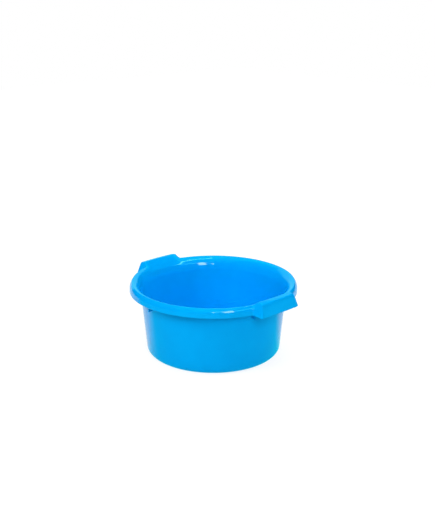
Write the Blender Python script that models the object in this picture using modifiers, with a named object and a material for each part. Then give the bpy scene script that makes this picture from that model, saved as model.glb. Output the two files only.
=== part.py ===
"""Round washing-up basin with two scoop handles, moulded in one piece.

Metres, +Z up. The origin is the middle of the underside, the basin stands on Z = 0
and the two handles lie at the ends of the X axis. The skin that is modelled is the one
seen from above: the inside of the bowl, the lip and the outside of the skirt. The wall
is given its thickness behind that skin.
"""

import math
from typing import NamedTuple

import bmesh
import bpy
from mathutils import Matrix

# Main sizes of the bowl
RIM_DIAMETER = 0.360
BASIN_HEIGHT = 0.1563
WALL_THICKNESS = 0.0018

# Base: corner up to the wall, foot ring and the raised middle inside it, seen from below
BASE_CORNER_RADIUS = 0.0142
FOOT_RING_WIDTH = 0.012
FOOT_RECESS = 0.0015
RECESS_SLOPE_WIDTH = 0.003

# Tilts of the skin in a radial section: 0 faces the axis, 90 degrees faces up, 180 faces out
WALL_TILT = math.radians(5.35)
FLARE_BEND_TILT = math.radians(22)
FLARE_LIP_TILT = math.radians(62)
RIM_EDGE_TILT = math.radians(135)
SKIRT_TILT = math.radians(175.8)
HANDLE_LAND_TILT = math.radians(101)
HANDLE_FACE_TILT = math.radians(167.8)

# Flare, lip, round shoulder and skirt of the rim
FLARE_LOWER_HEIGHT = 0.0125
FLARE_UPPER_HEIGHT = 0.0170
LIP_RADIUS = 0.0028
SHOULDER_RADIUS = 0.0125
SKIRT_DEPTH = 0.0193

# Handles: how far the lip and the skirt move up and out from the rim, how long they are,
# how far each line bows outwards and how much further along the rim the end faces join it
HANDLE_LIP_RISE = 0.0083
HANDLE_LIP_PULL = 0.0061
HANDLE_LIP_LENGTH = 0.0916
HANDLE_LIP_BOW = 0.0025
HANDLE_LIP_SPREAD = 0.0024
HANDLE_EDGE_RADIUS = 0.0040
HANDLE_SKIRT_PULL = 0.0160
HANDLE_SKIRT_LENGTH = 0.0984
HANDLE_SKIRT_SPREAD = 0.0040
HANDLE_FACE_BOW = 0.0014

# Stacking lugs under the rim, by their angle round the bowl from the first handle. They stand
# out from the top of the wall, and reach down from the height of the lip.
LUG_ANGLES = [math.radians(degrees) for degrees in (-96.5, -13, 83.5, 167)]
LUG_DEPTH = 0.0127
LUG_DROP = 0.0354
LUG_THICKNESS = 0.0022

# Fineness of the mesh: steps round the bowl, and which of them end and join a handle
TURN_STEPS = 80
HANDLE_END_STEP = 3
HANDLE_JOIN_STEP = 4
CORNER_SEGMENTS = 4
FLARE_LOWER_SEGMENTS = 2
FLARE_UPPER_SEGMENTS = 4
LIP_SEGMENTS = 3
SHOULDER_SEGMENTS = 4
MERGE_DISTANCE = 0.00001
SHARP_ANGLE = math.radians(32)

# Gloss blue polypropylene
PLASTIC_COLOUR = (0.0, 0.30, 0.87, 1.0)
PLASTIC_ROUGHNESS = 0.22

FACES_UP = math.radians(90)
STEP_ANGLE = 2 * math.pi / TURN_STEPS
DIAGONAL = math.sqrt(0.5)


class Level(NamedTuple):
    """One line of the skin round the bowl: its place on the rim, and its place on a handle."""

    radius: float
    height: float
    reach: float
    handle_height: float
    half_length: float = 0.0
    bow: float = 0.0
    join_angle: float = 0.0
    follow: float = 0.0


def mix(first, second, share):
    return first + (second - first) * share


def facing(tilt):
    """Unit vector, outwards and up, that a skin of this tilt faces."""
    return -math.cos(tilt), math.sin(tilt)


def arc(centre, radius, first_tilt, last_tilt, segments):
    """Points of an arc in a radial section. A negative radius gives a hollow arc."""
    points = []
    for step in range(segments + 1):
        out, up = facing(mix(first_tilt, last_tilt, step / segments))
        points.append((centre[0] + radius * out, centre[1] + radius * up))
    return points


def arc_up_to(end, height, first_tilt, last_tilt, segments):
    """The arc that climbs this height between two tilts and finishes at end."""
    radius = height / (math.sin(last_tilt) - math.sin(first_tilt))
    out, up = facing(last_tilt)
    return arc((end[0] - radius * out, end[1] - radius * up), radius, first_tilt, last_tilt, segments)


def join_angle(length, spread, radius):
    """Angle from a handle's middle at which its end face joins the rim."""
    return math.asin((length / 2 + spread) / radius)


def round_centre(first_point, first_tilt, second_point, second_tilt, radius):
    """Middle of a round that touches a straight run through each point at its tilt."""
    (a, b), (c, d) = facing(first_tilt), facing(second_tilt)
    first = a * first_point[0] + b * first_point[1] - radius
    second = c * second_point[0] + d * second_point[1] - radius
    scale = a * d - b * c
    return (first * d - b * second) / scale, (a * second - first * c) / scale


def rim_lip_centre():
    """Middle of the rim's lip, found inwards and upwards from the skirt's lower edge."""
    edge, skirt = facing(RIM_EDGE_TILT), facing(SKIRT_TILT)
    fall_to_edge = LIP_RADIUS * (1 - edge[1])
    shoulder_run = SHOULDER_RADIUS * (skirt[0] - edge[0])
    shoulder_fall = SHOULDER_RADIUS * (edge[1] - skirt[1])
    skirt_run = (SKIRT_DEPTH - fall_to_edge - shoulder_fall) * skirt[1] / skirt[0]
    return RIM_DIAMETER / 2 - skirt_run - shoulder_run - LIP_RADIUS * edge[0], BASIN_HEIGHT - LIP_RADIUS


def floor_section(wall_top):
    """Inner skin of the floor, with its raised middle, and of the corner that a wall from wall_top meets."""
    corner_radius = BASE_CORNER_RADIUS - WALL_THICKNESS
    corner_top = BASE_CORNER_RADIUS - corner_radius * math.sin(WALL_TILT)
    wall_foot_radius = wall_top.radius - (wall_top.height - corner_top) * math.tan(WALL_TILT)
    flat_radius = wall_foot_radius - corner_radius * math.cos(WALL_TILT)
    ring_inner_radius = flat_radius - FOOT_RING_WIDTH
    floor = [
        (0, WALL_THICKNESS + FOOT_RECESS),
        (ring_inner_radius - RECESS_SLOPE_WIDTH, WALL_THICKNESS + FOOT_RECESS),
        (ring_inner_radius, WALL_THICKNESS),
    ]
    return floor + arc((flat_radius, BASE_CORNER_RADIUS), -corner_radius, FACES_UP, WALL_TILT, CORNER_SEGMENTS)


def flare_section(lip_start):
    """Inner skin from the top of the wall out to the start of the lip."""
    upper = arc_up_to(lip_start, FLARE_UPPER_HEIGHT, FLARE_BEND_TILT, FLARE_LIP_TILT, FLARE_UPPER_SEGMENTS)
    lower = arc_up_to(upper[0], FLARE_LOWER_HEIGHT, WALL_TILT, FLARE_BEND_TILT, FLARE_LOWER_SEGMENTS)
    return lower[:-1] + upper


def floor_levels(wall_top):
    return [Level(radius, height, radius, height) for radius, height in floor_section(wall_top)]


def flare_levels():
    """Levels of the flare. On a handle it climbs higher and reaches further out."""
    centre = rim_lip_centre()
    section = flare_section(arc(centre, LIP_RADIUS, FLARE_LIP_TILT, RIM_EDGE_TILT, LIP_SEGMENTS)[0])
    (foot_radius, foot_height), (lip_radius, lip_height) = section[0], section[-1]
    lip_join = join_angle(HANDLE_LIP_LENGTH, HANDLE_LIP_SPREAD, centre[0])
    run_scale = 1 + HANDLE_LIP_PULL / (lip_radius - foot_radius)
    rise_scale = 1 + HANDLE_LIP_RISE / (lip_height - foot_height)
    levels = []
    for radius, height in section[:-1]:
        levels.append(Level(
            radius=radius,
            height=height,
            reach=foot_radius + (radius - foot_radius) * run_scale,
            handle_height=foot_height + (height - foot_height) * rise_scale,
            half_length=HANDLE_LIP_LENGTH / 2,
            bow=HANDLE_LIP_BOW,
            join_angle=lip_join,
            follow=(height - foot_height) / (lip_height - foot_height),
        ))
    return levels


def lip_levels():
    """Levels over the lip. A handle's lip turns only as far as its flat land."""
    centre = rim_lip_centre()
    lip_join = join_angle(HANDLE_LIP_LENGTH, HANDLE_LIP_SPREAD, centre[0])
    rim = arc(centre, LIP_RADIUS, FLARE_LIP_TILT, RIM_EDGE_TILT, LIP_SEGMENTS)
    handle_centre = (centre[0] + HANDLE_LIP_PULL, centre[1] + HANDLE_LIP_RISE)
    handle = arc(handle_centre, LIP_RADIUS, FLARE_LIP_TILT, HANDLE_LAND_TILT, LIP_SEGMENTS)
    return [
        Level(*on_rim, *on_handle, HANDLE_LIP_LENGTH / 2, HANDLE_LIP_BOW, lip_join, 1)
        for on_rim, on_handle in zip(rim, handle)
    ]


def outer_levels(lip):
    """Levels from the lip over the shoulder, or a handle's outer edge, down to the skirt's lower edge."""
    skirt_height = BASIN_HEIGHT - SKIRT_DEPTH
    skirt_radius = RIM_DIAMETER / 2
    skirt_reach = skirt_radius + HANDLE_SKIRT_PULL
    skirt_join = join_angle(HANDLE_SKIRT_LENGTH, HANDLE_SKIRT_SPREAD, skirt_radius)
    out, up = facing(RIM_EDGE_TILT)
    centre = (lip.radius - SHOULDER_RADIUS * out, lip.height - SHOULDER_RADIUS * up)
    shoulder = arc(centre, SHOULDER_RADIUS, RIM_EDGE_TILT, SKIRT_TILT, SHOULDER_SEGMENTS)[1:]
    edge_centre = round_centre((lip.reach, lip.handle_height), HANDLE_LAND_TILT,
                               (skirt_reach, skirt_height), HANDLE_FACE_TILT, HANDLE_EDGE_RADIUS)
    edge = arc(edge_centre, HANDLE_EDGE_RADIUS, HANDLE_LAND_TILT, HANDLE_FACE_TILT, SHOULDER_SEGMENTS - 1)
    levels = []
    for on_rim, on_handle in zip(shoulder + [(skirt_radius, skirt_height)], edge + [(skirt_reach, skirt_height)]):
        fallen = (BASIN_HEIGHT - on_rim[1]) / SKIRT_DEPTH
        half_length = mix(HANDLE_LIP_LENGTH, HANDLE_SKIRT_LENGTH,
                          (lip.handle_height - on_handle[1]) / (lip.handle_height - skirt_height)) / 2
        levels.append(Level(*on_rim, *on_handle, half_length, HANDLE_FACE_BOW,
                            mix(lip.join_angle, skirt_join, fallen), 1))
    return levels


def skin_levels():
    """All levels in order, from the middle of the floor to the skirt's lower edge."""
    upper = flare_levels() + lip_levels()
    return floor_levels(upper[0]) + upper + outer_levels(upper[-1])


def handle_radius(level, angle):
    """Distance from the bowl's axis to a handle's skin, at an angle from the handle's middle."""
    share = min(1, level.reach * math.tan(angle) / level.half_length) if level.half_length else 0
    straight = (level.reach - level.bow * share ** 2) / math.cos(angle)
    return mix(level.reach, straight, level.follow)


def skin_point(level, step):
    """Angle from the handle's middle, radius and height of a level at a step round the bowl."""
    plain = step * STEP_ANGLE
    if step >= HANDLE_JOIN_STEP:
        angle = mix(plain, level.join_angle, level.follow) if step == HANDLE_JOIN_STEP else plain
        return angle, level.radius, level.height
    share = step / HANDLE_END_STEP
    straight = math.atan2(share * level.half_length, level.reach - level.bow * share ** 2)
    angle = mix(plain, straight, level.follow)
    return angle, handle_radius(level, angle), level.handle_height


def pull_handles(mesh, levels):
    """Moves the turned skin's points beside the X axis out to the two handles."""
    half_turn = TURN_STEPS // 2
    for vertex in mesh.vertices:
        radius = math.hypot(vertex.co.x, vertex.co.y)
        level = min(levels, key=lambda one: math.hypot(one.radius - radius, one.height - vertex.co.z))
        step = round(math.atan2(vertex.co.y, vertex.co.x) / STEP_ANGLE)
        nearest = round(step / half_turn) * half_turn
        offset = step - nearest
        if level.half_length and abs(offset) <= HANDLE_JOIN_STEP:
            angle, radius, height = skin_point(level, abs(offset))
            place = nearest * STEP_ANGLE + math.copysign(angle, offset)
            vertex.co = (radius * math.cos(place), radius * math.sin(place), height)


def evaluated_mesh(scene_object):
    depsgraph = bpy.context.evaluated_depsgraph_get()
    return bpy.data.meshes.new_from_object(scene_object.evaluated_get(depsgraph))


def link_new(name, data, collection):
    scene_object = bpy.data.objects.new(name, data)
    collection.objects.link(scene_object)
    return scene_object


def turned_skin(levels, collection):
    """Mesh of the plain bowl: the levels' radial section carried once round the Z axis."""
    profile = bpy.data.meshes.new("profile")
    profile.from_pydata([(level.radius, 0, level.height) for level in levels],
                        [(index, index + 1) for index in range(len(levels) - 1)], [])
    turned = link_new("profile", profile, collection)
    screw = turned.modifiers.new("turn", "SCREW")
    screw.steps = screw.render_steps = TURN_STEPS
    screw.use_merge_vertices = True
    screw.merge_threshold = MERGE_DISTANCE
    mesh = evaluated_mesh(turned)
    bpy.data.objects.remove(turned)
    return mesh


def lug_outline(levels, angle):
    """Outline of a lug, outwards and up: from the wall up inside the flare's plastic and out to its edge."""
    flare = [level for level in levels if level.half_length]
    from_handle = min(abs(angle), math.pi - abs(angle))
    if from_handle < flare[0].join_angle:
        skin = [(handle_radius(level, from_handle), level.handle_height) for level in flare]
    else:
        skin = [(level.radius, level.height) for level in flare]
    depth = WALL_THICKNESS / 2 * DIAGONAL
    middle = [(radius + depth, height - depth) for radius, height in skin]
    edge = skin[0][0] + LUG_DEPTH
    inside = [point for point in middle if point[0] < edge]
    last, following = middle[len(inside) - 1], middle[len(inside)]
    top = mix(last[1], following[1], (edge - last[0]) / (following[0] - last[0]))
    foot = BASIN_HEIGHT - LUG_DROP
    return [(inside[0][0] - depth, foot)] + inside + [(edge, top), (edge, foot)]


def add_lug(name, outline, angle, collection):
    """A flat lug that stands in the radial plane at this angle, as a closed mesh."""
    curve = bpy.data.curves.new(name, "CURVE")
    curve.dimensions = "2D"
    curve.fill_mode = "BOTH"
    curve.extrude = LUG_THICKNESS / 2
    spline = curve.splines.new("POLY")
    spline.points.add(len(outline) - 1)
    for point, (radius, height) in zip(spline.points, outline):
        point.co = (radius, height, 0, 1)
    spline.use_cyclic_u = True
    drawn = link_new(name, curve, collection)
    mesh = evaluated_mesh(drawn)
    bpy.data.objects.remove(drawn)
    work = bmesh.new()
    work.from_mesh(mesh)
    bmesh.ops.remove_doubles(work, verts=work.verts, dist=MERGE_DISTANCE)
    bmesh.ops.transform(work, verts=work.verts, matrix=Matrix.Rotation(FACES_UP, 4, "X"))
    bmesh.ops.recalc_face_normals(work, faces=work.faces)
    work.to_mesh(mesh)
    work.free()
    lug = link_new(name, mesh, collection)
    lug.rotation_euler.z = angle
    lug.hide_render = True
    lug.display_type = "WIRE"
    return lug


def plastic_material():
    material = bpy.data.materials.new("gloss blue polypropylene")
    material.use_nodes = True
    shader = material.node_tree.nodes["Principled BSDF"]
    shader.inputs["Base Color"].default_value = PLASTIC_COLOUR
    shader.inputs["Roughness"].default_value = PLASTIC_ROUGHNESS
    shader.inputs["Metallic"].default_value = 0
    return material


def add_basin(parts, cutters):
    """The moulding: turned skin with pulled handles, wall thickness behind it, and lugs joined on."""
    levels = skin_levels()
    mesh = turned_skin(levels, cutters)
    pull_handles(mesh, levels)
    mesh.name = "basin"
    mesh.materials.append(plastic_material())
    mesh.shade_smooth()
    mesh.set_sharp_from_angle(angle=SHARP_ANGLE)
    basin = link_new("basin", mesh, parts)
    wall = basin.modifiers.new("wall", "SOLIDIFY")
    wall.thickness = WALL_THICKNESS
    wall.offset = -1
    wall.use_even_offset = True
    for number, angle in enumerate(LUG_ANGLES, start=1):
        lug = add_lug(f"lug_{number}", lug_outline(levels, angle), angle, cutters)
        join = basin.modifiers.new(lug.name, "BOOLEAN")
        join.operation = "UNION"
        join.object = lug
    return basin


def new_collection(name):
    collection = bpy.data.collections.new(name)
    bpy.context.scene.collection.children.link(collection)
    return collection


def main():
    for scene_object in list(bpy.data.objects):
        bpy.data.objects.remove(scene_object)
    add_basin(new_collection("basin"), new_collection("cutters"))


main()
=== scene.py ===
"""Looks of the round washing-up basin: one blue polypropylene moulding on a pale studio sweep.

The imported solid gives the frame: metres, +Z up, the basin stands on Z = 0 and its two
handles lie at the ends of X. The basin's sizes are in millimetres and are turned to metres
when a mesh is made, and the studio's are in metres. Angles are in degrees where nothing
else is said. The skin is a numpy grid of rows (from the middle of the floor out to the
skirt) and columns (round the bowl).
"""

import logging
import math
from dataclasses import dataclass
from enum import Enum
from typing import Any, NamedTuple

import bpy
import numpy as np
from mathutils import Matrix, Vector


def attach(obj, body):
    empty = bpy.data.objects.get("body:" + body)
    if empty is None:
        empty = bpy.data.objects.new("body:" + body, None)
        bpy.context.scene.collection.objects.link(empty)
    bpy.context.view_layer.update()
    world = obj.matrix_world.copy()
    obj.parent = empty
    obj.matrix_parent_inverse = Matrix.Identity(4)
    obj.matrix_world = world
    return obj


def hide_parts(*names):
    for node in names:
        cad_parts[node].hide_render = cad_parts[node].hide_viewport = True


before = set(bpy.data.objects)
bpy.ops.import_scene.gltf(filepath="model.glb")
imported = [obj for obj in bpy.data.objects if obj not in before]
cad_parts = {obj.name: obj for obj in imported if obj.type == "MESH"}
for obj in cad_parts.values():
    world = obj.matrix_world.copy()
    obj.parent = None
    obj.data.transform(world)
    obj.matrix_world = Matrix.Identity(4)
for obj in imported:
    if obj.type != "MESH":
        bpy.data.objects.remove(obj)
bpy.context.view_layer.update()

LOG = logging.getLogger("basin")

MM = 0.001
TINY = 1e-12
FACES_UP = 90.0
UPWARDS = np.array([0.0, 0.0, 1.0])
MIRROR_X = np.array([-1.0, 1.0, 1.0])
MIRROR_Y = np.array([1.0, -1.0, 1.0])
HALF_TURN = MIRROR_X * MIRROR_Y
WHITE = (1.0, 1.0, 1.0, 1.0)

# Sockets of a Mix node for colours, by number because their names repeat for each kind of value
MIX_SHARE = 0
MIX_FIRST = 6
MIX_SECOND = 7
MIX_RESULT = 2

Grid = np.ndarray  # points in rows and columns
Pair = tuple[float, float]  # a place outwards and up, or two values of one kind
Colour = tuple[float, float, float]  # linear red, green and blue
Arc = tuple[float, float, float, int]  # radius, first tilt, last tilt and steps


# Shared helpers

def linear(hex_colour: str) -> tuple[float, float, float, float]:
    """Turns an sRGB colour such as "#009EEA" to linear red, green, blue and alpha.

    A share of 255 up to 0.04045 becomes share / 12.92, and a larger one becomes
    ((share + 0.055) / 1.055)^2.4.

    Args:
        hex_colour: The colour as it would be picked on a screen.

    Returns:
        The four values that a shader socket takes.
    """
    values = []
    for place in (1, 3, 5):
        share = int(hex_colour[place:place + 2], 16) / 255
        values.append(share / 12.92 if share <= 0.04045 else ((share + 0.055) / 1.055) ** 2.4)
    return (*values, 1.0)


def add_node(tree: bpy.types.NodeTree, kind: str, settings: dict[str, Any] | None = None,
             inputs: dict[Any, Any] | None = None) -> bpy.types.Node:
    """Adds one node with its settings and what goes into it.

    Args:
        tree: The node tree.
        kind: Blender's name of the node's type.
        settings: The node's own properties.
        inputs: By socket name or number, a value, or the output socket that is linked to it.

    Returns:
        The new node.
    """
    node = tree.nodes.new(kind)
    for name, value in (settings or {}).items():
        setattr(node, name, value)
    for name, value in (inputs or {}).items():
        if isinstance(value, bpy.types.NodeSocket):
            tree.links.new(value, node.inputs[name])
        else:
            node.inputs[name].default_value = value
    return node


def facing(tilt: np.ndarray | float) -> np.ndarray:
    """Unit vector (outwards, up) that a skin of this tilt faces: 0 faces the axis, pi / 2 faces up.

    Args:
        tilt: One tilt or an array of them, in radians.

    Returns:
        (-cos tilt, sin tilt), with the pair in the last axis.
    """
    return np.stack([-np.cos(tilt), np.sin(tilt)], axis=-1)


def arc(centre: np.ndarray | Pair, radius: float, first: float, last: float, count: int) -> np.ndarray:
    """Points centre + radius * facing(tilt), for count + 1 tilts in equal steps from first to last.

    Args:
        centre: Middle of the arc, outwards and up.
        radius: Its radius. A negative one gives a hollow arc.
        first: First tilt.
        last: Last tilt.
        count: Number of steps.

    Returns:
        An array of count + 1 points.
    """
    return np.asarray(centre) + radius * facing(np.radians(np.linspace(first, last, count + 1)))


def touching_arcs(start: np.ndarray, arcs: tuple[Arc, ...]) -> np.ndarray:
    """A chain of arcs, each with its middle at (last point - radius * facing(first tilt)).

    Args:
        start: Where the first arc begins.
        arcs: The arcs in their order.

    Returns:
        start and the points after it.
    """
    chain = start[None]
    for radius, first, last, count in arcs:
        middle = chain[-1] - radius * facing(math.radians(first))
        chain = np.concatenate([chain, arc(middle, radius, first, last, count)[1:]])
    return chain


def straight(first: np.ndarray, last: np.ndarray, count: int) -> np.ndarray:
    """Points first + share * (last - first), for count + 1 shares in equal steps from 0 to 1."""
    return first + np.linspace(0, 1, count + 1)[:, None] * (last - first)


def curve(first: np.ndarray, knee: np.ndarray, last: np.ndarray, count: int) -> Grid:
    """Quadratic curves, one for each row, for count + 1 shares in equal steps from 0 to 1.

    point = (1 - share)^2 first + 2 share (1 - share) knee + share^2 last

    Args:
        first: Where each row's curve begins.
        knee: The point that it bends towards.
        last: Where it ends.
        count: Number of steps.

    Returns:
        Points of shape (rows, count + 1, 3).
    """
    share = np.linspace(0, 1, count + 1)[:, None]
    bend = 2 * share * (1 - share) * knee[:, None]
    return (1 - share) ** 2 * first[:, None] + bend + share ** 2 * last[:, None]


def unit(vectors: np.ndarray) -> np.ndarray:
    """The vectors of the last axis divided by their lengths."""
    return vectors / np.maximum(np.linalg.norm(vectors, axis=-1, keepdims=True), TINY)


def smooth_step(share: np.ndarray) -> np.ndarray:
    """The curve 3 s^2 - 2 s^3, which leaves 0 and reaches 1 level."""
    held = np.clip(share, 0, 1)
    return held * held * (3 - 2 * held)


def quads_between(rings: np.ndarray) -> list[list[int]]:
    """Faces between each ring of vertex numbers and the next, with every ring closed on itself."""
    beside = np.roll(rings, -1, axis=1)
    return np.stack([rings[:-1], rings[1:], beside[1:], beside[:-1]], axis=-1).reshape(-1, 4).tolist()


def new_piece(name: str, points: np.ndarray, faces: list[list[int]], material: bpy.types.Material,
              sharp_angle: float | None = None) -> None:
    """Makes a mesh piece with its place in its mesh, on the root body, and hides the imported basin.

    Args:
        name: Name of the object.
        points: Its vertices in millimetres.
        faces: Its faces as lists of vertex numbers.
        material: Its finish.
        sharp_angle: Edges that bend more than this stay crisp, where it is given.
    """
    mesh = bpy.data.meshes.new(name)
    mesh.from_pydata((points * MM).tolist(), [], faces)
    mesh.validate()
    mesh.shade_smooth()
    if sharp_angle is not None:
        mesh.set_sharp_from_angle(angle=math.radians(sharp_angle))
    mesh.materials.append(material)
    piece = bpy.data.objects.new(name, mesh)
    bpy.context.scene.collection.objects.link(piece)
    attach(piece, "root")
    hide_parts("basin")
    LOG.info("%s: %d vertices, %d faces", name, len(mesh.vertices), len(mesh.polygons))


# Finish of the moulding

@dataclass(frozen=True)
class GlossPolypropylene:
    """Polypropylene, injection moulded in a polished steel mould and dyed sky blue.

    The polished mould gives a gloss close to that of a glaze, softened by a faint orange peel
    where the plastic shrank: waves 5 mm long and 6 thousandths of a millimetre high. The dye is
    even, with clouds 45 mm wide that are hardly darker and hardly duller. The dye's blue is deeper
    than a screen can show. So what the skin mirrors straight on keeps only first_gloss_red of its
    red, and what it mirrors at a grazing angle stays white.
    """

    colour: str = "#009EEA"
    cloud_colour: str = "#009AE7"
    cloud_size: float = 45.0
    cloud_detail: float = 3.0
    cloud_ends: Pair = (0.35, 0.65)
    peel_size: float = 5.0
    peel_detail: float = 2.0
    peel_roughness: float = 0.4
    peel_height: float = 0.006
    refraction: float = 1.49
    gloss: float = 0.06
    dull_patch: float = 0.09
    first_gloss_red: float = 0.35

    def material(self) -> bpy.types.Material:
        """The finish as a material whose patterns follow Object coordinates."""
        material = bpy.data.materials.new("gloss_blue_polypropylene")
        material.use_nodes = True
        tree = material.node_tree
        shader = tree.nodes["Principled BSDF"]
        place = add_node(tree, "ShaderNodeTexCoord").outputs["Object"]
        clouds = add_node(tree, "ShaderNodeTexNoise", inputs={
            "Vector": place, "Scale": 1 / (self.cloud_size * MM), "Detail": self.cloud_detail})
        cloud_share = add_node(tree, "ShaderNodeMapRange", inputs={
            "Value": clouds.outputs[0], "From Min": self.cloud_ends[0], "From Max": self.cloud_ends[1]})
        dye = add_node(tree, "ShaderNodeMix", {"data_type": "RGBA"}, {
            MIX_SHARE: cloud_share.outputs[0],
            MIX_FIRST: linear(self.colour), MIX_SECOND: linear(self.cloud_colour)})
        dullness = add_node(tree, "ShaderNodeMapRange", inputs={
            "Value": clouds.outputs[0], "To Min": self.gloss, "To Max": self.dull_patch})
        peel = add_node(tree, "ShaderNodeTexNoise", inputs={
            "Vector": place, "Scale": 1 / (self.peel_size * MM),
            "Detail": self.peel_detail, "Roughness": self.peel_roughness})
        bump = add_node(tree, "ShaderNodeBump", inputs={
            "Height": peel.outputs[0], "Distance": self.peel_height * MM})
        tree.links.new(dye.outputs[MIX_RESULT], shader.inputs["Base Color"])
        tree.links.new(dullness.outputs[0], shader.inputs["Roughness"])
        tree.links.new(bump.outputs[0], shader.inputs["Normal"])
        shader.inputs["IOR"].default_value = self.refraction
        shader.inputs["Specular Tint"].default_value = (self.first_gloss_red, 1.0, 1.0, 1.0)
        return material


# Section of the moulding

@dataclass
class Rows:
    """Rows of the skin: each one's place on the rim and its place on a handle.

    radius and height are the rim's radial section; reach and rise are the handle's. half_length
    and bow shape the row's run along a handle, cut is how far its corner is rounded, join is the
    angle, in radians, at which the handle's end meets the rim. follow says how far up the handle's
    inner face the row lies: 0 up to the line where that face leaves the flare, 1 from the crest
    outwards.
    """

    radius: np.ndarray
    height: np.ndarray
    reach: np.ndarray
    rise: np.ndarray
    half_length: np.ndarray
    bow: np.ndarray
    cut: np.ndarray
    join: np.ndarray
    follow: np.ndarray


@dataclass(frozen=True)
class MouldSection:
    """Radial section of the upper skin, from the middle of the floor to the skirt's lower edge.

    A tilt is 0 where the skin faces the axis, 90 where it faces up and 180 where it faces outwards.
    The wall thins to lip_wall at the lip, within about thin_reach of it.
    """

    wall: float = 1.8
    lip_wall: float = 1.4
    thin_reach: float = 4.0
    floor_rise: float = 1.5
    floor_radii: tuple[float, ...] = (0.0, 30.0, 60.0, 90.0, 110.0)
    drop_radii: Pair = (115.4, 119.6)
    drop_steps: int = 8
    ring_radius: float = 125.0
    corner_middle: Pair = (131.0, 14.2)
    corner_radius: float = 12.4
    corner_steps: int = 12
    wall_tilt: float = 5.35
    flare_arcs: tuple[Arc, ...] = ((19.8, 79.2, 23.52, 22), (59.83, 23.52, 8.0, 9), (34.25, 8.0, 5.35, 3))
    lip_middle: Pair = (173.4, 154.6)
    lip_radius: float = 1.7
    lip_tilts: Pair = (79.2, 140.0)
    lip_steps: int = 12
    shoulder_arcs: tuple[Arc, ...] = ((25.0, 140.0, 160.0, 12), (8.0, 160.0, 176.0, 8))
    skirt_foot: Pair = (180.0, 137.9)
    skirt_steps: int = 10

    def floor(self) -> np.ndarray:
        """Rows of the floor: raised middle, a soft drop to the foot ring, and the hollow corner."""
        top, ring = self.wall + self.floor_rise, self.wall
        middle = np.array([[radius, top] for radius in self.floor_radii])
        fall = smooth_step(np.linspace(0, 1, self.drop_steps + 1))
        drop = np.stack([np.linspace(*self.drop_radii, self.drop_steps + 1),
                         top + (ring - top) * fall], axis=-1)
        corner = arc(self.corner_middle, -self.corner_radius, FACES_UP, self.wall_tilt, self.corner_steps)
        return np.concatenate([middle, drop, [[self.ring_radius, ring]], corner])

    def flare(self) -> np.ndarray:
        """Rows of the flare, found from the lip downwards as arcs that touch."""
        top = np.asarray(self.lip_middle) + self.lip_radius * facing(math.radians(self.lip_tilts[0]))
        return touching_arcs(top, self.flare_arcs)[::-1]

    def lip(self) -> np.ndarray:
        """Rows over the small round of the lip."""
        return arc(self.lip_middle, self.lip_radius, *self.lip_tilts, self.lip_steps)[1:]

    def outside(self, start: np.ndarray) -> np.ndarray:
        """Rows of the shoulder, as arcs that touch, and of the straight skirt below them.

        Args:
            start: Last point of the lip.

        Returns:
            The points after start, down to the skirt's foot.
        """
        shoulder = touching_arcs(start, self.shoulder_arcs)
        skirt = straight(shoulder[-1], np.asarray(self.skirt_foot), self.skirt_steps)
        return np.concatenate([shoulder[1:], skirt[1:]])


@dataclass(frozen=True)
class HandleEnd:
    """How one end of a handle runs out at the skirt: half length, way to the rim, and rounding."""

    skirt_half: float
    skirt_spread: float
    hem_cut: float


@dataclass(frozen=True)
class HandleSection:
    """Section through the middle of a handle, and how its rows run along its length.

    pull and rise say how far its lip lies outwards of the rim's and above it. The bow falls from
    lip_bow to face_bow within the first bow_fade of the drop. The inner face leaves the flare at
    the height inner_foot, and inner_crown of the flare's hollow stays in it. Its ends fade over
    end_fade, and over least_fade radians at the crest.
    """

    pull: float = 6.3
    rise: float = 8.3
    lip_half: float = 45.5
    lip_bow: float = 2.3
    lip_spread: float = 3.4
    lip_cut: float = 2.0
    land_tilt: float = 101.0
    land_steps: int = 5
    edge_radius: float = 4.0
    edge_steps: int = 15
    face_tilt: float = 167.8
    face_bow: float = 0.7
    bow_fade: float = 0.25
    skirt_foot: Pair = (196.0, 136.3)
    inner_foot: float = 146.0
    inner_tilt: float = 50.0
    inner_crown: float = 0.45
    end_fade: float = 9.0
    least_fade: float = 0.0001

    def edge_middle(self, land_start: np.ndarray) -> np.ndarray:
        """Middle of the round that touches the land and the face.

        The land runs through land_start and the face through the skirt's foot. The middle lies
        edge_radius inside both lines, which is two linear equations in its two coordinates.

        Args:
            land_start: Where the lip passes into the land.

        Returns:
            The middle, outwards and up.
        """
        sides = facing(np.radians([self.land_tilt, self.face_tilt]))
        offsets = np.array([sides[0] @ land_start, sides[1] @ np.asarray(self.skirt_foot)])
        return np.linalg.solve(sides, offsets - self.edge_radius)

    def outside(self, land_start: np.ndarray, face_steps: int) -> np.ndarray:
        """Rows of the land, the outer round and the face.

        Args:
            land_start: Where the lip passes into the land.
            face_steps: Steps down the face.

        Returns:
            The points after land_start, down to the skirt's foot.
        """
        middle = self.edge_middle(land_start)
        edge = arc(middle, self.edge_radius, self.land_tilt, self.face_tilt, self.edge_steps)
        land = straight(land_start, edge[0], self.land_steps)
        face = straight(edge[-1], np.asarray(self.skirt_foot), face_steps)
        return np.concatenate([land[1:], edge[1:], face[1:]])


# The moulding

class ColumnSteps(NamedTuple):
    """Steps round a quarter: along the handle, its corner, its end, the turn into the rim, the rim."""

    line: int = 14
    corner: int = 10
    end: int = 5
    join: int = 9
    rim: int = 58


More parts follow.
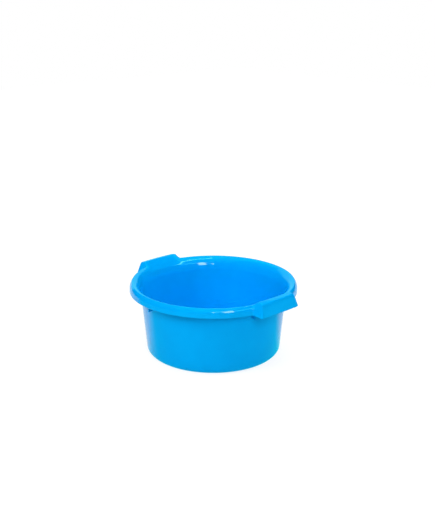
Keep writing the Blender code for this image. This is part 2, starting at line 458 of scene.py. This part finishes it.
@dataclass(frozen=True)
class BasinShell:
    """The bowl, its rolled rim and both handles, as one closed skin of even thickness.

    A handle's corner and its turn into the rim take at most the shares most_corner and most_join
    of the way between them. The turn ends join_cut further along the rim, which is an angle on the
    row's circle, or on one of least_turn_radius where that is larger.
    """

    section: MouldSection = MouldSection()
    handle: HandleSection = HandleSection()
    long_end: HandleEnd = HandleEnd(skirt_half=59.2, skirt_spread=0.5, hem_cut=12.5)
    short_end: HandleEnd = HandleEnd(skirt_half=53.2, skirt_spread=0.3, hem_cut=3.5)
    join_cut: float = 5.0
    most_corner: float = 0.5
    most_join: float = 0.4
    least_turn_radius: float = 60.0
    columns: ColumnSteps = ColumnSteps()
    edge_steps: int = 6
    wall_steps: int = 14

    @staticmethod
    def fallen(height: np.ndarray, lip_end: int) -> np.ndarray:
        """How far each row has fallen from the lip's end to the foot, (top - height) / (top - foot).

        Args:
            height: Heights of the rows.
            lip_end: Number of the lip's last row.

        Returns:
            The shares: 0 up to the lip's end, 1 at the foot.
        """
        share = (height[lip_end] - height) / (height[lip_end] - height[-1])
        share[:lip_end] = 0
        return share

    def rows(self, handle_end: HandleEnd) -> Rows:
        """Joins floor, wall, flare, lip and skirt to one set of rows, with the handle's row for each.

        Args:
            handle_end: The end of the handle that the rows run out to.

        Returns:
            The rows, from the middle of the floor to the skirt's foot.
        """
        section, handle = self.section, self.handle
        floor, flare, lip = section.floor(), section.flare(), section.lip()
        wall = straight(floor[-1], flare[0], self.wall_steps)[1:-1]
        below = np.concatenate([floor, wall])
        on_rim = np.concatenate([below, flare, lip, section.outside(lip[-1])])

        # The handle's inner face runs straight from the flare to the handle's lip
        middle = (section.lip_middle[0] + handle.pull, section.lip_middle[1] + handle.rise)
        handle_lip = arc(middle, section.lip_radius, handle.inner_tilt, handle.land_tilt, section.lip_steps)
        first_free = len(below) + int(np.argmax(flare[:, 1] > handle.inner_foot))
        last_free = len(below) + len(flare) - 1
        run = np.concatenate([[0], np.cumsum(np.linalg.norm(np.diff(on_rim, axis=0), axis=-1))])
        follow = np.clip((run - run[first_free]) / (run[last_free] - run[first_free]), 0, 1)
        share = follow[:last_free + 1, None]
        face = (1 - share) * on_rim[first_free] + share * handle_lip[0]
        face[:first_free] = on_rim[:first_free]
        on_handle = np.concatenate([
            face, handle_lip[1:], handle.outside(handle_lip[-1], section.skirt_steps)])

        lip_end = last_free + len(lip)
        fallen = self.fallen(on_rim[:, 1], lip_end)
        handle_fallen = self.fallen(on_handle[:, 1], lip_end)
        lip_join = math.asin((handle.lip_half + handle.lip_spread) / section.lip_middle[0])
        skirt_join = math.asin((handle_end.skirt_half + handle_end.skirt_spread) / section.skirt_foot[0])
        return Rows(
            radius=on_rim[:, 0], height=on_rim[:, 1], reach=on_handle[:, 0], rise=on_handle[:, 1],
            half_length=handle.lip_half + (handle_end.skirt_half - handle.lip_half) * handle_fallen,
            bow=(handle.lip_bow
                 + (handle.face_bow - handle.lip_bow) * smooth_step(handle_fallen / handle.bow_fade)),
            cut=handle.lip_cut + (handle_end.hem_cut - handle.lip_cut) * handle_fallen,
            join=lip_join + (skirt_join - lip_join) * fallen, follow=follow)

    def handle_path(self, rows: Rows) -> Grid:
        """A quarter of each row, from a handle's middle round to the side, along the handle's outline.

        The outline runs straight along the handle with a slight bow (x = reach - bow t^2,
        y = half_length t), turns the handle's corner, runs straight to the rim, turns into it
        and follows the rim's circle. Both corners are quadratic curves.

        Args:
            rows: The rows of the skin.

        Returns:
            Points of shape (rows, columns, 3).
        """
        steps = self.columns

        def column(values: np.ndarray) -> np.ndarray:
            """The row values as a column, to spread over the shares of a zone."""
            return values[:, None]

        def circle(angle: np.ndarray) -> Grid:
            """Points on the rim's circle of each row, at angles of shape (rows, columns)."""
            return np.stack([column(rows.radius) * np.cos(angle), column(rows.radius) * np.sin(angle),
                             np.broadcast_to(column(rows.height), angle.shape)], axis=-1)

        t = np.linspace(0, 1, steps.line + 1) * column(1 - rows.cut / rows.half_length)
        along = np.stack([column(rows.reach) - column(rows.bow) * t ** 2, column(rows.half_length) * t,
                          np.broadcast_to(column(rows.rise), t.shape)], axis=-1)
        tip = np.stack([rows.reach - rows.bow, rows.half_length, rows.rise], axis=-1)
        root = circle(column(rows.join))[:, 0]
        run = root - tip
        length = np.maximum(np.linalg.norm(run, axis=-1, keepdims=True), TINY)
        after_tip = tip + run * np.minimum(column(rows.cut) / length, self.most_corner)
        before_root = root - run * np.minimum(self.join_cut / length, self.most_join)
        rim_start = column(rows.join + self.join_cut / np.maximum(rows.radius, self.least_turn_radius))
        rim = circle(rim_start + np.linspace(0, 1, steps.rim + 1) * (math.pi / 2 - rim_start))
        zones = [along, curve(along[:, -1], tip, after_tip, steps.corner),
                 straight(after_tip[:, None], before_root[:, None], steps.end),
                 curve(before_root, root, rim[:, 0], steps.join)]
        return np.concatenate([*(zone[:, :-1] for zone in zones), rim], axis=1)

    @staticmethod
    def spread(values: np.ndarray, angle: np.ndarray, widths: np.ndarray) -> np.ndarray:
        """Averages values round the bowl with a bell curve of its own width for each row.

        share of column b in column a = exp(-((a - b) / width)^2 / 2) * step of b, over their sum,
        and each column counts once more as its mirror image beyond the handle's middle.

        Args:
            values: Values of shape (columns, 3), as outwards along X, along Y, and up.
            angle: The columns' angles, in radians.
            widths: Width of the bell for each row, in radians.

        Returns:
            Values of shape (rows, columns, 3).
        """
        step = np.gradient(angle)
        width = widths[:, None, None]
        near = np.exp(-0.5 * ((angle[:, None] - angle) / width) ** 2) * step
        mirrored = np.exp(-0.5 * ((angle[:, None] + angle) / width) ** 2) * step
        mirrored[:, :, 0] = 0
        whole = (near + mirrored).sum(axis=-1, keepdims=True)
        return (near @ values + mirrored @ (values * MIRROR_Y)) / whole

    def quarter(self, rows: Rows) -> Grid:
        """A quarter of the skin. Below the handle's inner face and beyond its ends it is turned.

        A column keeps one angle on all circles, that of the crest's outline. Between the circle
        where the inner face begins and the crest, point = circle + follow * way from the crest's
        circle to its outline - flatness * bulge of the circle's row over a straight face. Down
        the face both are averaged over a wider stretch, so the handle's ends fade into the flare.

        Args:
            rows: The rows of the skin.

        Returns:
            Points of shape (rows, columns, 3).
        """
        steps, handle = self.columns, self.handle
        outline = self.handle_path(rows)
        crest = int(np.argmax(rows.follow >= 1))
        first = int(np.argmax(rows.follow > 0)) - 1
        angle = np.arctan2(outline[crest, :, 1], outline[crest, :, 0])
        outwards = np.stack([np.cos(angle), np.sin(angle), np.zeros_like(angle)], axis=-1)
        circles = rows.radius[:, None, None] * outwards + rows.height[:, None, None] * UPWARDS

        past_line = np.arange(sum(steps) + 1) - steps.line
        beyond = smooth_step(past_line / (steps.corner + steps.end + steps.join))
        flatness = (1 - handle.inner_crown) * (1 - beyond)
        follow = rows.follow[first + 1:crest]
        widths = handle.end_fade / rows.radius[crest] * (1 - follow) + handle.least_fade
        way = self.spread(outline[crest] - circles[crest], angle, widths)
        flat = self.spread(np.repeat(flatness[:, None], 3, axis=1), angle, widths)[..., :1]

        section = np.stack([rows.radius, rows.height], axis=-1)
        chord = (1 - follow[:, None]) * section[first] + follow[:, None] * section[crest]
        bulge = (section[first + 1:crest] - chord)[:, None]
        hollow = bulge[..., :1] * outwards + bulge[..., 1:] * UPWARDS
        face = circles[first + 1:crest] + follow[:, None, None] * way - flat * hollow
        return np.concatenate([circles[:first + 1], face, outline[crest:]])

    def skin(self) -> Grid:
        """The whole upper skin: a quarter with each of the handle's ends, and both turned half round."""
        first = self.quarter(self.rows(self.long_end))
        second = self.quarter(self.rows(self.short_end))[:, -2::-1] * MIRROR_X
        half = np.concatenate([first, second], axis=1)[:, :-1]
        return np.concatenate([half, half * HALF_TURN], axis=1)

    @staticmethod
    def normals(skin: Grid) -> Grid:
        """Unit normals: along the rows crossed with round the columns, each step counted alike.

        Args:
            skin: Points of shape (rows, columns, 3), closed round the columns.

        Returns:
            Normals of the same shape. The pole's row faces up.
        """
        steps = unit(np.diff(skin, axis=0))
        along = unit(np.concatenate([steps[:1], steps[:-1] + steps[1:], steps[-1:]]))
        around = unit(unit(np.roll(skin, -1, axis=1) - skin) + unit(skin - np.roll(skin, 1, axis=1)))
        normals = unit(np.cross(along, around))
        normals[0] = UPWARDS
        return normals

    def thickness(self, skin: Grid) -> np.ndarray:
        """Wall thickness of each row, which thins where the lip's round is tighter than the wall.

        thickness = wall - (wall - lip_wall) * exp(-(way from the lip / thin_reach)^2)

        Args:
            skin: Points of shape (rows, columns, 3), with a handle's middle in the first column.

        Returns:
            Thicknesses of shape (rows, 1, 1).
        """
        section = self.section
        lip_radius = section.lip()[:, 0].mean()
        radius = np.hypot(skin[:, 0, 0], skin[:, 0, 1]) - self.handle.pull
        near = np.exp(-((radius - lip_radius) / section.thin_reach) ** 2)
        return (section.wall - (section.wall - section.lip_wall) * near)[:, None, None]

    def build(self, material: bpy.types.Material) -> None:
        """Closes the skin with its back, a wall thickness behind it, and a round lower edge.

        Args:
            material: The moulding's finish.
        """
        skin = self.skin()
        normals = self.normals(skin)
        thick = self.thickness(skin)
        back = (skin - thick * normals)[::-1]

        # The lower edge is half a turn about a point half a wall behind the skirt's foot
        down = unit(skin[-1] - skin[-2])
        half_wall = thick[-1] / 2
        turn = np.linspace(0, math.pi, self.edge_steps + 1)[1:-1, None, None]
        edge = (skin[-1] - half_wall * normals[-1]) + half_wall * (
            np.cos(turn) * normals[-1] + np.sin(turn) * down)

        rings = np.concatenate([skin[1:], edge, back[:-1]])
        ring_count, columns = rings.shape[:2]
        points = np.concatenate([rings.reshape(-1, 3), skin[0, :1], back[-1, :1]])
        first_pole, last_pole = ring_count * columns, ring_count * columns + 1
        here = np.arange(ring_count * columns).reshape(ring_count, columns)
        beside = np.roll(here, -1, axis=1)
        first_fan = np.stack([np.full(columns, first_pole), here[0], beside[0]], axis=-1)
        last_fan = np.stack([np.full(columns, last_pole), beside[-1], here[-1]], axis=-1)
        faces = quads_between(here) + first_fan.tolist() + last_fan.tolist()
        new_piece("basin_shell", points, faces, material)


@dataclass(frozen=True)
class StackingLugs:
    """Four flat lugs under the rim, on which the next basin of a stack hangs.

    Each is a radial plate whose upper side lies root_depth inside the wall. It follows the wall's
    rows that are higher than wall_from and more than foot_gap above the lug's foot.
    """

    shell: BasinShell
    angles: tuple[float, ...] = (-96.5, -13.0, 83.5, 167.0)
    outer_radius: float = 166.65
    foot_height: float = 120.9
    foot_gap: float = 2.0
    wall_from: float = 20.0
    thickness: float = 2.2
    bevel: float = 0.35
    root_depth: float = 0.9
    sharp_angle: float = 30.0

    def outline(self, skin: Grid, normals: Grid, angle: float) -> np.ndarray:
        """Outline of a lug in its radial plane, closed, with the flare's middle as its upper side.

        Args:
            skin: The shell's upper skin.
            normals: Its normals.
            angle: Angle of the lug round the bowl, in radians.

        Returns:
            Points (outwards, up) in order.
        """
        middle = skin - self.root_depth * normals
        crest = int(np.argmax(skin[:, 0, 2]))
        around = np.arctan2(middle[crest, :, 1], middle[crest, :, 0])
        near = int(np.argmin(np.abs(np.angle(np.exp(1j * (around - angle))))))
        across, along, up = middle[:crest, near].T
        side = np.stack([np.hypot(across, along), up], axis=-1)
        side = side[side[:, 1] > self.wall_from]
        top = np.interp(self.outer_radius, side[:, 0], side[:, 1])
        root = np.interp(self.foot_height, side[:, 1], side[:, 0])
        above = side[(side[:, 1] > self.foot_height + self.foot_gap) & (side[:, 0] < self.outer_radius)]
        return np.concatenate([[[root, self.foot_height]], above,
                               [[self.outer_radius, top], [self.outer_radius, self.foot_height]]])

    def plate(self, outline: np.ndarray, angle: float) -> Grid:
        """The plate's four rings: the outline drawn in by the bevel on both faces, and full between.

        Args:
            outline: The lug's outline.
            angle: Its angle round the bowl, in radians.

        Returns:
            Points of shape (4, outline, 3).
        """
        after, before = np.roll(outline, -1, axis=0) - outline, outline - np.roll(outline, 1, axis=0)
        tangent = unit(unit(after) + unit(before))
        inwards = np.stack([tangent[:, 1], -tangent[:, 0]], axis=-1)
        drawn_in = outline + self.bevel * inwards
        half = self.thickness / 2
        across = np.array([-half, -half + self.bevel, half - self.bevel, half])[:, None]
        cos, sin = math.cos(angle), math.sin(angle)
        out, up = np.moveaxis(np.stack([drawn_in, outline, outline, drawn_in]), -1, 0)
        return np.stack([out * cos - across * sin, out * sin + across * cos, up], axis=-1)

    def build(self, material: bpy.types.Material) -> None:
        """Makes the four lugs as one piece.

        Args:
            material: The moulding's finish.
        """
        skin = self.shell.skin()
        normals = self.shell.normals(skin)
        points = np.empty((0, 3))
        faces: list[list[int]] = []
        for angle in np.radians(self.angles):
            rings = self.plate(self.outline(skin, normals, angle), angle)
            here = len(points) + np.arange(rings.shape[0] * rings.shape[1]).reshape(rings.shape[:2])
            faces += quads_between(here[::-1])
            faces += [here[0][::-1].tolist(), here[-1].tolist()]
            points = np.concatenate([points, rings.reshape(-1, 3)])
        new_piece("stacking_lugs", points, faces, material, self.sharp_angle)


# Studio

@dataclass(frozen=True)
class ViewFrame:
    """Directions as they are seen from the camera: azimuth to its right, and elevation."""

    turn: float = 46.6
    middle: tuple[float, float, float] = (0.0, 0.0, 0.075)

    def direction(self, azimuth: float, elevation: float) -> Vector:
        """Unit vector from the basin, azimuth degrees to the camera's right and elevation degrees up."""
        turned, up = math.radians(azimuth + self.turn), math.radians(elevation)
        return Vector((math.sin(turned) * math.cos(up), -math.cos(turned) * math.cos(up), math.sin(up)))

    def place(self, azimuth: float, elevation: float, distance: float) -> Vector:
        """The point in that direction, this many metres from the basin's middle."""
        return Vector(self.middle) + distance * self.direction(azimuth, elevation)


class SeenIn(Enum):
    """Which of a surface's answers to a lamp is let through."""

    COLOUR = "colour"
    GLOSS = "gloss"


@dataclass(frozen=True)
class Lamp:
    """A soft lamp that faces the basin, a rectangle or an ellipse."""

    name: str
    azimuth: float
    elevation: float
    distance: float
    size: Pair
    radiance: float
    seen_in: SeenIn
    colour: Colour = (1.0, 1.0, 1.0)
    ellipse: bool = False

    def add(self, view: ViewFrame) -> None:
        """Adds the lamp. Its power is radiance * area * pi, so that it shows at that strength.

        Args:
            view: The directions that its place is given in.
        """
        data = bpy.data.lights.new(self.name, "AREA")
        data.shape = "ELLIPSE" if self.ellipse else "RECTANGLE"
        data.size, data.size_y = self.size
        area = data.size * data.size_y * (math.pi / 4 if self.ellipse else 1.0)
        data.energy = self.radiance * area * math.pi
        data.color = self.colour
        lamp = bpy.data.objects.new(self.name, data)
        place = view.place(self.azimuth, self.elevation, self.distance)
        turn = (-view.direction(self.azimuth, self.elevation)).to_track_quat("-Z", "Y").to_matrix()
        lamp.matrix_world = Matrix.Translation(place) @ turn.to_4x4()
        lamp.visible_glossy = self.seen_in is SeenIn.GLOSS
        lamp.visible_diffuse = self.seen_in is SeenIn.COLOUR
        lamp.visible_camera = False
        bpy.context.scene.collection.objects.link(lamp)
        LOG.info("lamp %s", self.name)


@dataclass(frozen=True)
class MirroredTabletop:
    """The tabletop as gloss mirrors it: blue-green in front of the basin, near white behind it.

    The basin shows no red of its own, so what its front mirrors has hardly any. A point lies so
    far towards the camera and so far across, to the camera's right. Its share of the colour behind
    is a ramp of (towards + slope * |across| + lean) over fade, times a ramp of |across| over
    beside. The lean rises from 0, at lean_reach to the left of the middle, to its full value at
    lean_reach to the right.
    """

    front: Colour = (0.05, 1.15, 1.15)
    behind: Colour = (0.95, 1.05, 1.05)
    slope: float = 0.4
    lean: float = 0.048
    lean_reach: float = 0.1
    fade: Pair = (0.135, 0.055)
    beside: Pair = (0.08, 0.13)

    def shader(self, tree: bpy.types.NodeTree, place: bpy.types.NodeSocket,
               view: ViewFrame) -> bpy.types.NodeSocket:
        """Adds the tabletop's nodes.

        Args:
            tree: The node tree.
            place: Where on the tabletop a ray falls.
            view: The directions of the camera.

        Returns:
            The shader's output.
        """
        towards, across = (
            add_node(tree, "ShaderNodeVectorMath", {"operation": "DOT_PRODUCT"}, {
                0: place, 1: tuple(view.direction(azimuth, 0.0))}).outputs["Value"]
            for azimuth in (0.0, 90.0))
        aside = add_node(tree, "ShaderNodeMath", {"operation": "ABSOLUTE"}, {0: across})
        fanned = add_node(tree, "ShaderNodeMath", {"operation": "MULTIPLY_ADD"}, {
            0: aside.outputs[0], 1: self.slope, 2: towards})
        lean = add_node(tree, "ShaderNodeMapRange", inputs={
            "Value": across, "From Min": -self.lean_reach, "From Max": self.lean_reach,
            "To Max": self.lean})
        leaned = add_node(tree, "ShaderNodeMath", inputs={0: fanned.outputs[0], 1: lean.outputs[0]})
        beyond = add_node(tree, "ShaderNodeMapRange", inputs={
            "Value": leaned.outputs[0], "From Min": self.fade[0], "From Max": self.fade[1]})
        share = add_node(tree, "ShaderNodeMapRange", inputs={
            "Value": aside.outputs[0], "From Min": self.beside[0], "From Max": self.beside[1],
            "To Max": beyond.outputs[0]})
        colour = add_node(tree, "ShaderNodeMix", {"data_type": "RGBA"}, {
            MIX_SHARE: share.outputs[0], MIX_FIRST: (*self.front, 1.0), MIX_SECOND: (*self.behind, 1.0)})
        return add_node(tree, "ShaderNodeEmission", inputs={"Color": colour.outputs[MIX_RESULT]}).outputs[0]


@dataclass(frozen=True)
class Studio:
    """Pale tabletop, soft lamps and a surround that is dark to gloss above the tabletop.

    Some lamps light only the plastic's colour and the others show only in its gloss. For the
    camera the tabletop glows more with distance, over glow_reach, so no horizon shows.
    """

    view: ViewFrame
    floor_colour: str = "#B0B0B2"
    shadow_colour: str = "#8C8C8E"
    floor_size: float = 9.0
    table_glow: float = 0.26
    camera_glow: Pair = (0.80, 1.0)
    glow_reach: Pair = (0.6, 2.5)
    ambient: float = 0.15
    dark_surround: Colour = (0.002, 0.05, 0.06)
    mirrored: MirroredTabletop = MirroredTabletop()
    lamps: tuple[Lamp, ...] = (
        Lamp("overhead", 0.0, 88.0, 2.0, (1.8, 1.8), 2.1, SeenIn.COLOUR),
        Lamp("key", 10.0, 31.0, 2.6, (0.91, 0.83), 14.2, SeenIn.COLOUR),
        Lamp("left_fill", -66.0, 35.0, 2.2, (1.2, 0.8), 7.3, SeenIn.COLOUR),
        Lamp("right_fill", 108.0, 22.0, 2.2, (1.2, 1.0), 4.0, SeenIn.COLOUR),
        Lamp("back_fill", 185.0, 30.0, 2.4, (2.2, 1.2), 2.6, SeenIn.COLOUR),
        Lamp("ceiling_sheen", 0.0, 105.0, 3.0, (2.8, 3.6), 1.7, SeenIn.GLOSS, (0.03, 1.0, 1.0)),
        Lamp("front_sheen", 0.0, 53.0, 3.0, (3.0, 2.5), 0.9, SeenIn.GLOSS, (0.03, 1.0, 1.0)),
        Lamp("pale_backdrop", 193.0, 20.0, 3.5, (4.2, 2.6), 0.95, SeenIn.GLOSS, (0.25, 1.0, 1.0)),
        Lamp("softbox", 19.5, 27.0, 2.0, (0.42, 0.40), 9.8, SeenIn.GLOSS, (2.4, 1.0, 1.0)),
        Lamp("side_strip", 70.0, 60.0, 2.0, (0.12, 2.3), 19.0, SeenIn.GLOSS, (0.6, 1.0, 1.0)),
        Lamp("low_strip", 46.0, 31.5, 2.0, (0.85, 0.06), 16.0, SeenIn.GLOSS, (0.25, 1.0, 1.0)),
        Lamp("spot_by_camera", 0.4, 25.0, 2.0, (0.16, 0.16), 16.0, SeenIn.GLOSS, (1.8, 1.0, 1.0),
             ellipse=True),
    )

    def world(self) -> None:
        """White to the camera, dark to gloss, and a plain level of light for everything else."""
        world = bpy.data.worlds.new("studio_surround")
        world.use_nodes = True
        tree = world.node_tree
        rays = add_node(tree, "ShaderNodeLightPath")
        graded = add_node(tree, "ShaderNodeMix", {"data_type": "RGBA"}, {
            MIX_SHARE: rays.outputs["Is Glossy Ray"],
            MIX_FIRST: (self.ambient, self.ambient, self.ambient, 1.0),
            MIX_SECOND: (*self.dark_surround, 1.0)})
        shown = add_node(tree, "ShaderNodeMix", {"data_type": "RGBA"}, {
            MIX_SHARE: rays.outputs["Is Camera Ray"],
            MIX_FIRST: graded.outputs[MIX_RESULT], MIX_SECOND: WHITE})
        tree.links.new(shown.outputs[MIX_RESULT], tree.nodes["Background"].inputs["Color"])
        bpy.context.scene.world = world

    @staticmethod
    def glowing_paper(tree: bpy.types.NodeTree, colour: str,
                      strength: float | bpy.types.NodeSocket) -> bpy.types.NodeSocket:
        """Adds matt paper that also glows white.

        Args:
            tree: The node tree.
            colour: The paper's sRGB colour.
            strength: How much it glows, as a value or an output.

        Returns:
            The shader's output.
        """
        matt = add_node(tree, "ShaderNodeBsdfDiffuse", inputs={"Color": linear(colour)})
        glow = add_node(tree, "ShaderNodeEmission", inputs={"Color": WHITE, "Strength": strength})
        both = add_node(tree, "ShaderNodeAddShader", inputs={0: matt.outputs[0], 1: glow.outputs[0]})
        return both.outputs[0]

    def sweep_material(self) -> bpy.types.Material:
        """Paper with one look for the camera, one for gloss and one for all other light."""
        material = bpy.data.materials.new("matt_paper_sweep")
        material.use_nodes = True
        tree = material.node_tree
        tree.nodes.remove(tree.nodes["Principled BSDF"])
        rays = add_node(tree, "ShaderNodeLightPath")
        place = add_node(tree, "ShaderNodeTexCoord").outputs["Object"]
        distance = add_node(tree, "ShaderNodeVectorMath", {"operation": "LENGTH"}, {0: place})
        glow = add_node(tree, "ShaderNodeMapRange", inputs={
            "Value": distance.outputs["Value"],
            "From Min": self.glow_reach[0], "From Max": self.glow_reach[1],
            "To Min": self.camera_glow[0], "To Max": self.camera_glow[1]})
        plain = add_node(tree, "ShaderNodeMixShader", inputs={
            0: rays.outputs["Is Glossy Ray"],
            1: self.glowing_paper(tree, self.floor_colour, self.table_glow),
            2: self.mirrored.shader(tree, place, self.view)})
        shown = add_node(tree, "ShaderNodeMixShader", inputs={
            0: rays.outputs["Is Camera Ray"], 1: plain.outputs[0],
            2: self.glowing_paper(tree, self.shadow_colour, glow.outputs[0])})
        tree.links.new(shown.outputs[0], tree.nodes["Material Output"].inputs["Surface"])
        return material

    def floor(self) -> None:
        """The sweep: a pale sheet that takes the shadow and glows to white for the camera."""
        half = self.floor_size / 2
        corners = [(-half, -half, 0), (half, -half, 0), (half, half, 0), (-half, half, 0)]
        mesh = bpy.data.meshes.new("studio_floor")
        mesh.from_pydata(corners, [], [(0, 1, 2, 3)])
        mesh.materials.append(self.sweep_material())
        floor = bpy.data.objects.new("studio_floor", mesh)
        bpy.context.scene.collection.objects.link(floor)

    def build(self) -> None:
        """Adds the surround, the floor and the lamps."""
        self.world()
        self.floor()
        for lamp in self.lamps:
            lamp.add(self.view)


@dataclass(frozen=True)
class PhotoCamera:
    """The camera: its place as seen from the basin, and where the basin's middle falls in the picture.

    focal_pixels, picture and middle_at are in the photograph's pixels, and sensor in millimetres.
    """

    view: ViewFrame
    distance: float = 1.9
    elevation: float = 21.3525
    focal_pixels: float = 872.69
    picture: Pair = (435.0, 520.0)
    middle_at: Pair = (213.44, 315.06)
    sensor: float = 36.0
    clip_end: float = 50.0

    def build(self) -> None:
        """Looks at the basin's middle, then turns about its own up and right until that falls in place."""
        data = bpy.data.cameras.new("photo_camera")
        data.sensor_width = self.sensor
        data.lens = self.focal_pixels / self.picture[1] * self.sensor
        data.clip_end = self.clip_end
        camera = bpy.data.objects.new("photo_camera", data)
        look = (-self.view.direction(0.0, self.elevation)).to_track_quat("-Z", "Y").to_matrix()
        yaw = math.atan2(self.middle_at[0] - self.picture[0] / 2, self.focal_pixels)
        pitch = math.atan2(self.middle_at[1] - self.picture[1] / 2, self.focal_pixels)
        turned = look @ Matrix.Rotation(yaw, 3, "Y") @ Matrix.Rotation(pitch, 3, "X")
        place = self.view.place(0.0, self.elevation, self.distance)
        camera.matrix_world = Matrix.Translation(place) @ turned.to_4x4()
        bpy.context.scene.collection.objects.link(camera)
        bpy.context.scene.camera = camera


def main() -> None:
    """Builds the camera, the moulding and the studio, and reports each piece."""
    logging.basicConfig(level=logging.INFO, format="%(name)s: %(message)s")
    bpy.context.scene.view_settings.view_transform = "Standard"
    view = ViewFrame()
    PhotoCamera(view).build()
    material = GlossPolypropylene().material()
    shell = BasinShell()
    shell.build(material)
    StackingLugs(shell).build(material)
    Studio(view).build()


if __name__ == "__main__":
    main()
